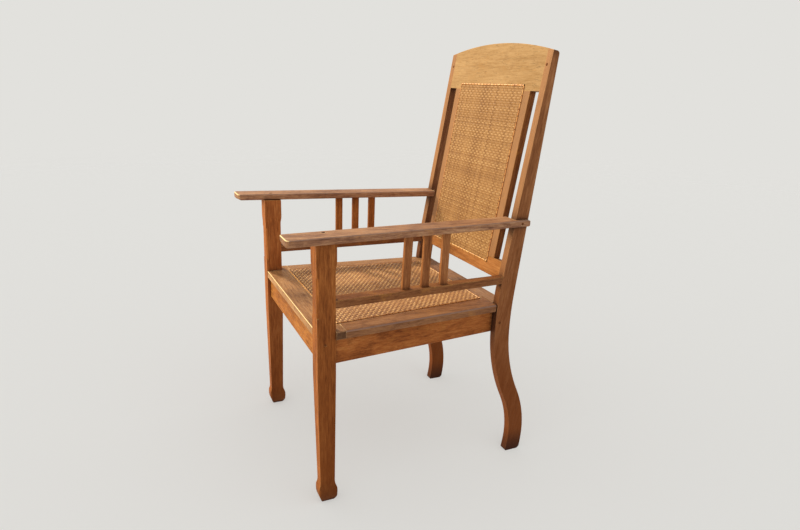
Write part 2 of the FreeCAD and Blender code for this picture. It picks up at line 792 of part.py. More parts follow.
def front_leg():
    leg = less(leg_blank(), leg_chamfers()).cut(arm_layer(-overrun, arm_thickness))
    leg = leg.fuse(leg_top_tenon(0, top_tenon_length)).removeSplitter()
    mortises = [
        side_apron_tenon(joint_clearance, mortise_end_gap),
        front_apron_tenon(joint_clearance, mortise_end_gap),
        side_rail_front_tenon(joint_clearance, mortise_end_gap),
    ]
    return less(leg, mortises + peg_holes)


def back_post():
    mortises = [
        side_rail_rear_tenon(joint_clearance, mortise_end_gap),
        crest_tenon(joint_clearance, mortise_end_gap),
        back_rail_tenon(joint_clearance, mortise_end_gap),
    ]
    return less(post_blank(), mortises + peg_holes)


def crest_rail():
    rail = block(-post_inner, post_inner, 0, back_board_thickness, crest_bottom, crest_top)
    rail = back_frame_place(rail.cut(over_crest_arc()))
    tenon = crest_tenon(0, 0)
    rail = rail.fuse([tenon, mirrored(tenon)]).removeSplitter()
    slots = muntin_tenons(joint_clearance, mortise_end_gap)
    return less(rail, [slots, mirrored(slots), back_cane_groove()] + peg_holes)


def lower_back_rail():
    rail = eased(block(-post_inner, post_inner, 0, back_board_thickness, back_rail_bottom, back_rail_top))
    tenon = back_rail_tenon(0, 0)
    rail = back_frame_place(rail).fuse([tenon, mirrored(tenon)]).removeSplitter()
    slots = muntin_tenons(joint_clearance, mortise_end_gap)
    return less(rail, [slots, mirrored(slots), back_cane_groove()])


def back_muntin():
    inner = muntin_outer - muntin_width
    muntin = eased(block(inner, muntin_outer, 0, back_board_thickness, back_rail_top, crest_bottom))
    muntin = back_frame_place(muntin).fuse(muntin_tenons(0, 0)).removeSplitter()
    return muntin.cut(back_cane_groove())


def front_apron():
    rear = front_apron_set + apron_thickness
    apron = eased(block(-leg_inner, leg_inner, front_apron_set, rear, apron_bottom, seat_under))
    tenon = front_apron_tenon(0, 0)
    return less(apron.fuse([tenon, mirrored(tenon)]).removeSplitter(), peg_holes)


def side_apron():
    scribed = knee_front + tenon_shoulder
    flush = post_inner - board_clearance
    points = [(apron_outer(leg_depth), leg_depth), (apron_outer(scribed), scribed), (flush, scribed)]
    points += [(flush, side_apron_rear), (apron_inner(side_apron_rear), side_apron_rear)]
    points.append((apron_inner(leg_depth), leg_depth))
    bevel = min(arris, (apron_outer(scribed) - flush) / 2)
    apron = eased(plan(points, apron_bottom, seat_under), bevel).cut(post_prism(flush, post_outer))
    apron = apron.fuse(side_apron_tenon(0, 0)).removeSplitter()
    return less(apron, [rear_apron_tenon(joint_clearance, mortise_end_gap)] + peg_holes)


def rear_apron():
    front = rear_apron_rear - rear_apron_thickness
    outer = apron_inner
    points = [(-outer(front), front), (outer(front), front)]
    points += [(outer(rear_apron_rear), rear_apron_rear), (-outer(rear_apron_rear), rear_apron_rear)]
    tenon = rear_apron_tenon(0, 0)
    return eased(plan(points, apron_bottom, seat_under)).fuse([tenon, mirrored(tenon)]).removeSplitter()


def seat_front_board():
    notch = leg_depth + board_clearance
    waist = leg_inner - board_clearance
    half = [(waist, seat_front_set), (waist, notch), (seat_outer(notch), notch)]
    half.append((seat_outer(front_board_rear), front_board_rear))
    points = half + [(-x, y) for x, y in reversed(half)]
    board = plan(points, seat_under, seat_height)
    lip = edges_where(board, lambda p: near(p.y, seat_front_set))
    lip = [e for e in lip if e.BoundBox.XLength > leg_width]
    board = board.makeFillet(seat_under_round / 2, lip)
    ends = edges_where(board, lambda p: near(abs(p.x), seat_outer(p.y)) and p.y > leg_depth)
    board = board.makeFillet(seat_under_round, [e for e in ends if e.BoundBox.ZLength < touch])
    slots = seat_side_tenon(joint_clearance, mortise_end_gap)
    return less(board, [slots, mirrored(slots), seat_cane_groove()])


def seat_side_blank():
    rear = knee_front + seat_side_behind_knee
    board = strip(seat_outer, seat_inner, front_board_rear, rear, seat_under, seat_height).cut(wide_post)
    upright = [e for e in board.Edges if e.BoundBox.ZLength > seat_board_thickness - touch]
    upright.sort(key=lambda e: e.BoundBox.YMax + e.BoundBox.XMax)
    board = board.makeFillet(seat_corner_round, upright[-1:])
    rim = edges_where(board, lambda p: p.x > seat_outer(p.y) - touch and near(p.z, seat_height))
    board = board.makeFillet(seat_edge_round, rim)
    rim = edges_where(board, lambda p: p.x > seat_outer(p.y) - touch and near(p.z, seat_under))
    return board.makeFillet(seat_under_round, rim)


def seat_side_board():
    board = seat_side_blank().fuse(seat_side_tenon(0, 0)).removeSplitter()
    return less(board, [seat_rear_tenon(joint_clearance, mortise_end_gap), seat_cane_groove()])


def seat_rear_board():
    front = seat_cane_rear - seat_board_lap
    flush = post_inner - board_clearance
    half = [(seat_inner(front), front), (seat_inner(knee_front), knee_front)]
    half += [(flush, knee_front), (flush, seat_rear)]
    points = half + [(-x, y) for x, y in reversed(half)]
    blank = seat_side_blank()
    tenon = seat_rear_tenon(0, 0)
    board = less(plan(points, seat_under, seat_height), [blank, mirrored(blank)])
    board = board.fuse([tenon, mirrored(tenon)]).removeSplitter()
    return board.cut(seat_cane_groove())


def seat_cane():
    """The sheet of woven cane over the seat, with its edge turned down into the groove."""
    base = seat_height - cane_fold_depth
    sheet = plan(seat_cane_points(cane_groove_width - cane_fold), base, seat_height + cane_proud)
    return sheet.cut(plan(seat_cane_points(cane_groove_width), base - touch, seat_height))


def back_cane():
    """The sheet of woven cane on the back, with its edge turned into the groove."""
    face = back_cane_corners(cane_groove_width - cane_fold, cane_fold_depth)
    hollow = back_cane_corners(cane_groove_width, cane_fold_depth + touch)
    sheet = flat_face(face).extrude(Vec(0, -cane_fold_depth - cane_proud, 0))
    return back_frame_place(sheet.cut(flat_face(hollow).extrude(Vec(0, -cane_fold_depth - touch, 0))))


def seat_edging():
    base = seat_height - cane_groove_depth
    outer = [Vec(x, y, base) for x, y in seat_cane_points(joint_clearance)]
    inner = [Vec(x, y, base) for x, y in seat_cane_points(edging_inset)]
    return edging(outer, inner, Vec(0, 0, cane_groove_depth + edging_proud))


def back_edging():
    outer = back_cane_corners(joint_clearance, cane_groove_depth)
    inner = back_cane_corners(edging_inset, cane_groove_depth)
    lengths = edging(outer, inner, Vec(0, -cane_groove_depth - edging_proud, 0))
    return [back_frame_place(length) for length in lengths]


def slat_mortises():
    length = slat_tenon_length + mortise_end_gap
    return [slat_tenons(number, joint_clearance, length) for number in range(slat_count)]


def side_rail():
    rear = rail_end + post_top_depth
    rail = strip(side_rail_outer, side_rail_inner, leg_depth, rear, side_rail_bottom, side_rail_top)
    rail = eased(rail).cut(wide_post)
    rail = rail.fuse([side_rail_front_tenon(0, 0), side_rail_rear_tenon(0, 0)]).removeSplitter()
    return less(rail, slat_mortises())


def arm():
    leg_mortise = leg_top_tenon(joint_clearance, top_tenon_length + mortise_end_gap)
    return less(arm_blank(), slat_mortises() + [leg_mortise] + peg_holes)


def slat(number):
    stick = slat_prism(number, slat_thickness, slat_width, 0).cut(arm_layer(-overrun * 2, arm_thickness))
    return stick.fuse(slat_tenons(number, 0, slat_tenon_length)).removeSplitter()


def chair():
    """Every piece of the chair by the name of its node, still laid out from the leg fronts."""
    pieces = {
        "crest_rail": crest_rail(),
        "lower_back_rail": lower_back_rail(),
        "back_cane_panel": back_cane(),
        "back_cane_edging": Part.makeCompound(back_edging()),
        "front_apron": front_apron(),
        "rear_apron": rear_apron(),
        "seat_front_board": seat_front_board(),
        "seat_rear_board": seat_rear_board(),
        "seat_cane_panel": seat_cane(),
        "seat_cane_edging": Part.makeCompound(seat_edging()),
    }
    paired = {
        "front_leg": front_leg(),
        "back_post": back_post(),
        "back_muntin": back_muntin(),
        "side_apron": side_apron(),
        "seat_side_board": seat_side_board(),
        "lower_side_rail": side_rail(),
        "arm": arm(),
    }
    for number in range(slat_count):
        paired["arm_slat_%d" % (number + 1)] = slat(number)
    for name, left in paired.items():
        pieces[name + "_left"] = left
        pieces[name + "_right"] = mirrored(left)
    for name, pegs in all_pegs(0).items():
        pieces[name] = Part.makeCompound(pegs)
    return pieces


os.makedirs("parts", exist_ok=True)
pieces = chair()
whole = FreeCAD.BoundBox()
for shape in pieces.values():
    whole.add(shape.optimalBoundingBox(False, False))
to_origin = Vec(0, -(whole.YMin + whole.YMax) / 2, 0)
for name, shape in pieces.items():
    placed = shape.copy()
    placed.translate(to_origin)
    placed.exportStep("parts/%s.step" % name)
    print(name, len(placed.Solids), "solids", round(placed.Volume / 1000, 1), "cm3", placed.isValid())
print("moved back by", round(-to_origin.y, 3))
print("size", [round(length, 2) for length in (whole.XLength, whole.YLength, whole.ZLength)])
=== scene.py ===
# %% [markdown]
# A planters chair: an upright teak armchair whose seat and back are woven from rattan cane.
# The joiner's work, every board, leg, rail and peg, comes in as a fixed frame of solids.
# This lesson gives each of them its wood, weaves the two cane panels strip by strip, lays
# the cane beads that close their edges, and sets the chair on a pale floor in soft light.
# %% Load the frame
import math

import bpy
from mathutils import Matrix, Vector


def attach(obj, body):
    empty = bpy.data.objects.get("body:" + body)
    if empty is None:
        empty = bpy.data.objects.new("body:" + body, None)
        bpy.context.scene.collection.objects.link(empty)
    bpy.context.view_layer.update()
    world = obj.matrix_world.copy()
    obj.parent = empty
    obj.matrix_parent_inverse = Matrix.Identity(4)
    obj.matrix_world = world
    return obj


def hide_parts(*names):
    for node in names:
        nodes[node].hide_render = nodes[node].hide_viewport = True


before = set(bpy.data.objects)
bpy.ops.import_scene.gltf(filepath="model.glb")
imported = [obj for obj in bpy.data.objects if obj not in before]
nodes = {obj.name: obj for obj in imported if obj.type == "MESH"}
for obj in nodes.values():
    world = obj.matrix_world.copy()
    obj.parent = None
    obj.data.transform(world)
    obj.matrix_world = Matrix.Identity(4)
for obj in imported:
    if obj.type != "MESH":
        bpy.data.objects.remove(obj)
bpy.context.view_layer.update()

# %% [markdown]
# Everything is in metres, but a weaver thinks in millimetres, so one value turns one into
# the other. The sitter faces -Y, +X is the sitter's left and +Z is up.
# %% Units and directions
MM = 0.001
ACROSS = Vector((1, 0, 0))
TO_REAR = Vector((0, 1, 0))
UP = Vector((0, 0, 1))

# %% [markdown]
# Modelling with operators means working on what is selected. These helpers clear the
# selection, pick one object, change between the modes, and select vertices, edges or faces
# by a test on their place, just as one would box-select them by hand.
# %% Helpers that select
def deselect_all():
    bpy.ops.object.select_all(action="DESELECT")


def pick(thing):
    """Makes one object the only selected and the active one."""
    deselect_all()
    thing.select_set(True)
    bpy.context.view_layer.objects.active = thing


def object_mode():
    bpy.ops.object.mode_set(mode="OBJECT")


def edit_mode():
    bpy.ops.object.mode_set(mode="EDIT")


def clear(elements):
    elements.foreach_set("select", [False] * len(elements))


def select_where(thing, kind, test):
    """Selects the vertices, edges or faces whose points all pass the test."""
    object_mode()
    mesh = thing.data
    groups = {"VERT": mesh.vertices, "EDGE": mesh.edges, "FACE": mesh.polygons}
    for elements in groups.values():
        clear(elements)
    for element in groups[kind]:
        indices = [element.index] if kind == "VERT" else element.vertices
        element.select = all(test(mesh.vertices[i].co) for i in indices)
    edit_mode()
    bpy.ops.mesh.select_mode(type=kind)


# %% [markdown]
# The second set of helpers changes shapes: it starts a block, repeats a mesh in a row,
# doubles it, cuts it with a plane, and puts it in its place. A finished object always stays
# at the origin, with its place in its mesh, so that no pattern on it slides or turns.
# %% Helpers that shape
MERGE_DISTANCE = 0.01 * MM
SMOOTH_ANGLE = 40


def new_block(name, size):
    """A box of the given size round the origin, left in edit mode with nothing selected."""
    deselect_all()
    bpy.ops.mesh.primitive_cube_add(size=1)
    block = bpy.context.object
    block.name = block.data.name = name
    block.scale = size
    bpy.ops.object.transform_apply(location=False, rotation=False, scale=True)
    edit_mode()
    bpy.ops.mesh.select_all(action="DESELECT")
    return block


def apply_modifiers(thing):
    bpy.context.view_layer.objects.active = thing
    for modifier in list(thing.modifiers):
        bpy.ops.object.modifier_apply(modifier=modifier.name)


def repeat(thing, count, step, merge=False):
    """Copies the mesh in a row with an Array modifier, and applies it."""
    row = thing.modifiers.new("Row", "ARRAY")
    row.count = count
    row.use_relative_offset = False
    row.use_constant_offset = True
    row.constant_offset_displace = step
    row.use_merge_vertices = merge
    row.merge_threshold = MERGE_DISTANCE
    apply_modifiers(thing)


def doubled(thing, step):
    """Adds a copy of the whole mesh beside itself."""
    pick(thing)
    edit_mode()
    bpy.ops.mesh.select_all(action="SELECT")
    bpy.ops.mesh.duplicate()
    bpy.ops.transform.translate(value=step)
    object_mode()


def cut_off(thing, point, outward):
    """Cuts the mesh with a plane, throws away what lies outward of it and closes the cut."""
    pick(thing)
    edit_mode()
    bpy.ops.mesh.select_all(action="SELECT")
    bpy.ops.mesh.bisect(plane_co=point, plane_no=outward, use_fill=True, clear_outer=True)
    object_mode()


def place(thing, matrix):
    """Puts the finished mesh in its place, with its object left at the origin."""
    pick(thing)
    thing.matrix_world = matrix
    bpy.ops.object.transform_apply(location=True, rotation=True, scale=True)


def soften(thing, angle=SMOOTH_ANGLE):
    pick(thing)
    bpy.ops.object.shade_smooth_by_angle(angle=math.radians(angle))


# %% [markdown]
# The woven sheets lie on flat faces of the frame's two panel solids. Their sizes could be
# typed in, but a changed frame would leave them behind, so they are measured. The face that
# looks out of a panel is found by its normal, and then its length, and half its width at
# both ends. From these comes a flat drawing board: x across, y along the strips that run up
# the back or to the rear of the seat, and z out of the panel.
# %% Find the two panels
FACES_THAT_WAY = 0.9
SAME_FACE = 0.2 * MM


class Panel:
    def __init__(self, node, out, along):
        mesh = nodes[node].data
        faces = [face for face in mesh.polygons if face.normal.dot(out) > FACES_THAT_WAY]
        out = max(faces, key=lambda face: face.area).normal.normalized()
        top = max(mesh.vertices[i].co.dot(out) for face in faces for i in face.vertices)
        points = [mesh.vertices[i].co for face in faces for i in face.vertices]
        points = [point for point in points if top - point.dot(out) < SAME_FACE]
        along = (along - out * along.dot(out)).normalized()
        across = along.cross(out)
        low = min(point.dot(along) for point in points)
        high = max(point.dot(along) for point in points)
        self.length = high - low
        self.half_low = max(p.dot(across) for p in points if p.dot(along) - low < MM)
        self.half_high = max(p.dot(across) for p in points if high - p.dot(along) < MM)
        centre = along * (low + high) / 2 + out * top
        axes = Matrix((across, along, out)).transposed().to_4x4()
        self.board = Matrix.Translation(centre) @ axes

    def corners(self, outset=0):
        """The drawing board's four corners, low left first, then counter-clockwise."""
        half = self.length / 2 + outset
        low = self.half_low + outset
        high = self.half_high + outset
        return [Vector((-low, -half, 0)), Vector((low, -half, 0)),
                Vector((high, half, 0)), Vector((-high, half, 0))]


seat_panel = Panel("seat_cane_panel", UP, TO_REAR)
back_panel = Panel("back_cane_panel", -TO_REAR, UP)
for title, panel in (("seat", seat_panel), ("back", back_panel)):
    print(title, "panel", round(panel.length / MM), "mm long, half", round(panel.half_low / MM),
          "to", round(panel.half_high / MM), "mm wide")

# %% [markdown]
# The cane is a close plain weave. Pairs of narrow strips run up the back and to the rear of
# the seat, one pair every 9.5 mm, and single strips cross them every 6.5 mm, each over one
# pair and under the next. A pattern on a flat sheet would be quicker, but real strips catch
# the light and let it through between them. A weave is easy to model because it repeats: one
# short piece is bent over and under, arrayed into a strip, doubled, and arrayed into a sheet.
# %% Sizes of the weave
PAIR_PITCH = 9.5 * MM
CROSS_PITCH = 6.5 * MM
PAIR_STRIP_WIDTH = 4.3 * MM
PAIR_GAP = 0.25 * MM
CROSS_STRIP_WIDTH = 5.4 * MM
STRIP_THICKNESS = 0.8 * MM
STRIP_CROWN = 0.3 * MM
WAVE = 0.45 * MM
PANEL_OVER_WOOD = 1.5 * MM
WEAVE_OVER_WOOD = 0.92 * MM
FLAT_SHARE = 0.29
STRAY_ACROSS = 0.5 * MM
STRAY_ALONG = 0.4 * MM
STRAY_SIZE = 50 * MM
WEAVE_SMOOTH_ANGLE = 60
print("pairs every", PAIR_PITCH / MM, "mm, cross strips every", CROSS_PITCH / MM, "mm")


# %% [markdown]
# The bent piece starts as a flat box as long as two crossings, which takes fewer faces than
# a curve with a profile. Its end faces go, because its neighbours join there, its upper long
# edges are bevelled like split cane, and it is subdivided into rings along its length. The
# rings near the middle rise over the crossing strip, and those near the ends sink under the
# next one.
# %% One piece of bent strip
RING_CUTS = 4
INNER_RING, OUTER_RING = 0.2, 0.6
RING_REACH = 0.1


def bent_strip(name, width, pitch):
    """A strip along y that is high at the middle and low at both ends, two pitches long."""
    strip = new_block(name, (width, 2 * pitch, STRIP_THICKNESS))
    for side in (1, -1):
        select_where(strip, "FACE", lambda p: side * p.y > 0.99 * pitch)
        bpy.ops.mesh.delete(type="ONLY_FACE")
    for side in (1, -1):
        select_where(strip, "EDGE", lambda p: side * p.x > 0 and p.z > 0)
        bpy.ops.mesh.bevel(offset=STRIP_CROWN, segments=1, affect="EDGES")
    object_mode()
    clear(strip.data.polygons)
    for edge in strip.data.edges:
        a, b = (strip.data.vertices[i].co for i in edge.vertices)
        edge.select = abs(a.y - b.y) > pitch
    edit_mode()
    bpy.ops.mesh.select_mode(type="EDGE")
    bpy.ops.mesh.subdivide(number_cuts=RING_CUTS)
    for ring, flat in ((INNER_RING, FLAT_SHARE), (OUTER_RING, 1 - FLAT_SHARE)):
        select_where(strip, "VERT", lambda p: abs(abs(p.y) / pitch - ring) < RING_REACH)
        bpy.ops.transform.resize(value=(1, flat / ring, 1), center_override=(0, 0, 0))
    select_where(strip, "VERT", lambda p: abs(p.y) < 0.5 * pitch)
    bpy.ops.transform.translate(value=(0, 0, WAVE))
    select_where(strip, "VERT", lambda p: abs(p.y) > 0.5 * pitch)
    bpy.ops.transform.translate(value=(0, 0, -WAVE))
    object_mode()
    return strip


# %% [markdown]
# A sheet is a row of strips, every second one shifted by one crossing so that it goes under
# where its neighbour goes over. The row could be fitted to the panel by counting, but its
# sides aren't parallel, so the sheet is made a little too large, to be trimmed later.
# %% A sheet of strips
def sheet_of(strip, pitch, strip_pitch, length, width, pair_step=0):
    """Turns one bent piece into a sheet of strips along y, centred on the origin."""
    units = math.ceil(length / (2 * pitch)) + 2
    repeat(strip, units, (0, 2 * pitch, 0), merge=True)
    if pair_step:
        doubled(strip, (pair_step, 0, 0))
    doubled(strip, (strip_pitch, pitch, 0))
    rows = math.ceil(width / (2 * strip_pitch)) + 2
    repeat(strip, rows, (2 * strip_pitch, 0, 0))
    along = -(units - 1) * pitch
    across = -(rows - 0.5) * strip_pitch - pair_step / 2
    along = round(along / (2 * pitch)) * 2 * pitch
    across = round(across / (2 * strip_pitch)) * 2 * strip_pitch - pair_step / 2
    place(strip, Matrix.Translation((across, along, 0)))


# %% [markdown]
# Handwork is never quite straight, so a soft clouds texture pushes the strips a fraction of
# a millimetre out of line. The sheet is then trimmed on all four sides with a plane, which
# closes each cut strip with a small end face. It is laid a little lower than the face of the
# plain solid that it stands in for, because its strips rise and sink.
# %% Stray, trim and lay the weave
def stray(thing, direction, amount):
    clouds = bpy.data.textures.get("hand_stray") or bpy.data.textures.new("hand_stray", "CLOUDS")
    clouds.noise_scale = STRAY_SIZE
    push = thing.modifiers.new("Stray", "DISPLACE")
    push.texture = clouds
    push.texture_coords = "LOCAL"
    push.direction = direction
    push.strength = amount
    push.mid_level = 0.5
    apply_modifiers(thing)


def trim(thing, corners):
    for start, end in zip(corners, corners[1:] + corners[:1]):
        side = end - start
        cut_off(thing, (start + end) / 2, (side.y, -side.x, 0))


def woven(name, panel):
    """The two layers of a panel: pairs that run along it and single strips that cross them."""
    width = 2 * max(panel.half_low, panel.half_high)
    pairs = bent_strip(name + "_pairs", PAIR_STRIP_WIDTH, CROSS_PITCH)
    sheet_of(pairs, CROSS_PITCH, PAIR_PITCH, panel.length, width, PAIR_STRIP_WIDTH + PAIR_GAP)
    cross = bent_strip(name + "_cross_strips", CROSS_STRIP_WIDTH, PAIR_PITCH)
    sheet_of(cross, PAIR_PITCH, CROSS_PITCH, width, panel.length)
    place(cross, Matrix.Translation((PAIR_PITCH, 0, 0)) @ Matrix.Rotation(math.pi / 2, 4, "Z"))
    lowered = Matrix.Translation((0, 0, WEAVE_OVER_WOOD - PANEL_OVER_WOOD))
    for layer in (pairs, cross):
        stray(layer, "X", STRAY_ACROSS)
        stray(layer, "Y", STRAY_ALONG)
        trim(layer, panel.corners())
        place(layer, panel.board @ lowered)
        soften(layer, WEAVE_SMOOTH_ANGLE)
        print(layer.name, len(layer.data.polygons), "faces")
    return pairs, cross


seat_pairs, seat_cross = woven("seat_cane", seat_panel)
back_pairs, back_cross = woven("back_cane", back_panel)

# %% [markdown]
# Around each panel a round bead of split cane is pressed into the groove over the cut ends
# of the strips, and a thin binding loops over it about every 17 mm. One curve could run all
# the way round, but real beads are four lengths that meet in mitres, and so are these: each
# is a cylinder, cut at both ends. A loop is a short sleeve with bevelled rims.
# %% The beads and their loops
BEAD_RADIUS = 2.4 * MM
BEAD_CENTRE_OVER_WOOD = -0.2 * MM
BEAD_FROM_PANEL = 2.55 * MM
LOOP_PITCH = 17 * MM
LOOP_WIDTH = 2.6 * MM
LOOP_THICKNESS = 0.28 * MM
LOOP_ROUND = 0.9 * LOOP_THICKNESS
BEAD_SIDES = 16


def mitred_length(corners, index):
    """One side's bead, from corner to corner, and the matrix that turns z to its direction."""
    start, end = corners[index], corners[(index + 1) % 4]
    before, after = corners[index - 1], corners[(index + 2) % 4]
    side = end - start
    deselect_all()
    bpy.ops.mesh.primitive_cylinder_add(vertices=BEAD_SIDES, radius=BEAD_RADIUS,
                                        depth=side.length + 4 * BEAD_RADIUS)
    length = bpy.context.object
    turn = UP.rotation_difference(side).to_matrix().to_4x4()
    place(length, Matrix.Translation((start + end) / 2) @ turn)
    for corner, other, along in ((start, before, -side), (end, after, side)):
        mitre = along.normalized() - (other - corner).normalized()
        cut_off(length, corner, mitre.normalized())
    return length, turn


def binding_loop(matrix):
    deselect_all()
    bpy.ops.mesh.primitive_cylinder_add(vertices=BEAD_SIDES, radius=BEAD_RADIUS + LOOP_THICKNESS,
                                        depth=LOOP_WIDTH)
    loop = bpy.context.object
    select_where(loop, "EDGE", lambda p: abs(p.z) > 0.49 * LOOP_WIDTH)
    bpy.ops.mesh.bevel(offset=LOOP_ROUND, segments=1, affect="EDGES")
    object_mode()
    place(loop, matrix)
    return loop


# %% [markdown]
# The four lengths of a panel become one piece and its loops another, because each has a cane
# of its own. Both are made on the flat drawing board first, where the corners are easy, and
# then laid on the panel.
# %% Lay the beads round both panels
def joined(name, parts):
    deselect_all()
    for part in parts:
        part.select_set(True)
    bpy.context.view_layer.objects.active = parts[0]
    bpy.ops.object.join()
    whole = bpy.context.object
    whole.name = whole.data.name = name
    return whole


def bead(name, panel):
    corners = panel.corners(BEAD_FROM_PANEL)
    lengths, loops = [], []
    for index, start in enumerate(corners):
        length, turn = mitred_length(corners, index)
        lengths.append(length)
        side = corners[(index + 1) % 4] - start
        count = round(side.length / LOOP_PITCH)
        for step in range(count):
            centre = start + side * ((step + 0.5) / count)
            loops.append(binding_loop(Matrix.Translation(centre) @ turn))
    lowered = Matrix.Translation((0, 0, BEAD_CENTRE_OVER_WOOD - PANEL_OVER_WOOD))
    made = []
    for title, parts in (("_bead", lengths), ("_bead_loops", loops)):
        whole = joined(name + title, parts)
        place(whole, panel.board @ lowered)
        soften(whole)
        print(whole.name, len(whole.data.polygons), "faces")
        made.append(whole)
    return made


seat_bead, seat_loops = bead("seat", seat_panel)
back_bead, back_loops = bead("back", back_panel)


# %% [markdown]
# A material is a web of nodes, and written node by node it hides what it works out. So the
# materials here are written as sums: `Value` wraps one output of a node, and `1 - mask` or
# `a * b` adds the Math node that it stands for.
# %% Sums of shader values
class Value:
    def __init__(self, finish, socket):
        self.finish = finish
        self.socket = socket

    def math(self, operation, *others):
        inputs = dict(enumerate((self,) + others))
        return self.finish.node("ShaderNodeMath", {"operation": operation}, inputs)

    def __add__(self, other):
        return self.math("ADD", other)

    def __sub__(self, other):
        return self.math("SUBTRACT", other)

    def __mul__(self, other):
        return self.math("MULTIPLY", other)

    def __truediv__(self, other):
        return self.math("DIVIDE", other)

    def __rsub__(self, other):
        return self.finish.node("ShaderNodeMath", {"operation": "SUBTRACT"}, {0: other, 1: self})

    def __abs__(self):
        return self.math("ABSOLUTE")

    __radd__ = __add__
    __rmul__ = __mul__


# %% [markdown]
# `Finish` holds one material and adds any other node to it from its type, its settings and
# its inputs. The kinds that wood and cane both need have short names of their own: a noise,
# a smooth step from one value to another, a mix of two colours, and how open a spot lies.
# %% A material and its nodes
RAY_SAMPLES = 6
COAT_ROUGHNESS = 0.25


class Finish:
    def __init__(self, name):
        self.material = bpy.data.materials.new(name)
        self.material.use_nodes = True
        self.tree = self.material.node_tree
        self.tree.nodes.clear()

    def node(self, kind, settings=None, inputs=None, output=0):
        node = self.tree.nodes.new(kind)
        for setting, value in (settings or {}).items():
            if setting == "stops":
                self.set_stops(node.color_ramp, value)
            else:
                setattr(node, setting, value)
        for name, value in (inputs or {}).items():
            if isinstance(value, Value):
                self.tree.links.new(value.socket, node.inputs[name])
            else:
                node.inputs[name].default_value = value
        return Value(self, node.outputs[output])

    def set_stops(self, ramp, stops):
        while len(ramp.elements) < len(stops):
            ramp.elements.new(1)
        for element, (position, colour) in zip(ramp.elements, stops):
            element.position = position
            element.color = colour

    def vector(self, operation, *parts, output=0):
        return self.node("ShaderNodeVectorMath", {"operation": operation},
                         dict(enumerate(parts)), output)

    def noise(self, place, scale, detail=3, roughness=0.5, distortion=0):
        inputs = {"Vector": place, "Scale": scale, "Detail": detail, "Roughness": roughness,
                  "Distortion": distortion}
        return self.node("ShaderNodeTexNoise", {}, inputs)

    def step(self, value, low, high):
        """0 below low, 1 above high, smooth between; turned round if low is above high."""
        inputs = {"Value": value, "From Min": low, "From Max": high}
        return self.node("ShaderNodeMapRange", {"interpolation_type": "SMOOTHSTEP"}, inputs)

    def mix(self, factor, below, above):
        """The colour below where the factor is 0, the one above where it is 1."""
        inputs = {0: factor, 6: below, 7: above}
        return self.node("ShaderNodeMix", {"data_type": "RGBA"}, inputs, 2)

    def ramp(self, value, stops):
        return self.node("ShaderNodeValToRGB", {"stops": stops}, {"Fac": value})

    def place_on(self):
        """Where a point lies on the chair, in metres."""
        return self.node("ShaderNodeTexCoord", {}, {}, 3)

    def facing(self):
        """Which way the surface faces, smoothed between its faces."""
        return self.node("ShaderNodeTexCoord", {}, {}, 1)

    def part(self, vector, axis):
        """One part of a vector: 0 across, 1 to the rear, 2 up."""
        return self.node("ShaderNodeSeparateXYZ", {}, {"Vector": vector}, axis)

    def openness(self, distance):
        """1 in the open, towards 0 where other surfaces stand within the distance."""
        return self.node("ShaderNodeAmbientOcclusion", {"samples": RAY_SAMPLES},
                         {"Distance": distance}, 1)

    def end(self, colour, roughness, relief, relief_depth, specular, coat=0.0):
        bump = {"Height": relief, "Distance": relief_depth, "Strength": 1.0}
        shader = self.node("ShaderNodeBsdfPrincipled", {}, {
            "Base Color": colour, "Roughness": roughness,
            "Normal": self.node("ShaderNodeBump", {}, bump),
            "Coat Weight": coat, "Coat Roughness": COAT_ROUGHNESS,
            "Specular IOR Level": specular})
        return self.finished(shader)

    def finished(self, shader):
        output = self.tree.nodes.new("ShaderNodeOutputMaterial")
        self.tree.links.new(shader.socket, output.inputs["Surface"])
        return self.material


# %% [markdown]
# Old teak is golden brown, and no two boards of this chair have quite the same tone. One
# brown for all would look like plastic, so each kind of board has three tones: its dark
# lines, its middle and its light bands. The rest are colours laid over them: some that age
# has laid, and some painted light and shade.
# %% Tones of the wood
def tone(red, green, blue):
    """A colour as a painter would name it, 0 to 255, turned into linear light."""
    linear = []
    for part in (red / 255, green / 255, blue / 255):
        linear.append(part / 12.92 if part <= 0.04045 else ((part + 0.055) / 1.055) ** 2.4)
    return (*linear, 1)


PORE = tone(58, 30, 16)
# A dark stain, also used as painted shade in corners, in slots and low on the chair.
STAIN_AND_SHADE = tone(52, 32, 26)
GRIME = tone(84, 44, 24)
GOLD = tone(196, 134, 66)
# Painted shade low on the chair.
LOW_SHADE_BROWN = tone(112, 55, 19)
# Painted light on front faces above the seat.
LIT_FRONT_PALE = tone(160, 122, 92)
# Painted grey sheen, a sky reflection, on the arrises on the sitter's left.
GREY_SHEEN = tone(150, 122, 112)
LEG_TONES = (tone(94, 47, 21), tone(150, 87, 42), tone(186, 118, 62))
APRON_TONES = (tone(104, 56, 30), tone(170, 99, 50), tone(206, 136, 76))
RED_TONES = (tone(104, 54, 26), tone(164, 96, 50), tone(200, 132, 76))
DARK_TONES = (tone(76, 38, 18), tone(112, 64, 32), tone(144, 90, 50))
REAR_TONES = (tone(92, 50, 24), tone(134, 82, 44), tone(164, 108, 64))
POST_TONES = (tone(100, 58, 32), tone(146, 94, 58), tone(180, 127, 86))
SLAT_TONES = (tone(100, 56, 30), tone(148, 92, 54), tone(182, 124, 78))
AMBER_TONES = (tone(118, 68, 30), tone(166, 102, 48), tone(196, 132, 70))
CREST_TONES = (tone(140, 104, 64), tone(163, 127, 88), tone(178, 143, 103))
RAIL_TONES = (tone(108, 62, 32), tone(156, 100, 56), tone(184, 128, 82))
FRONT_TONES = (tone(106, 72, 46), tone(168, 122, 82), tone(200, 156, 112))
BOARD_TONES = (tone(90, 56, 36), tone(144, 98, 64), tone(178, 130, 90))
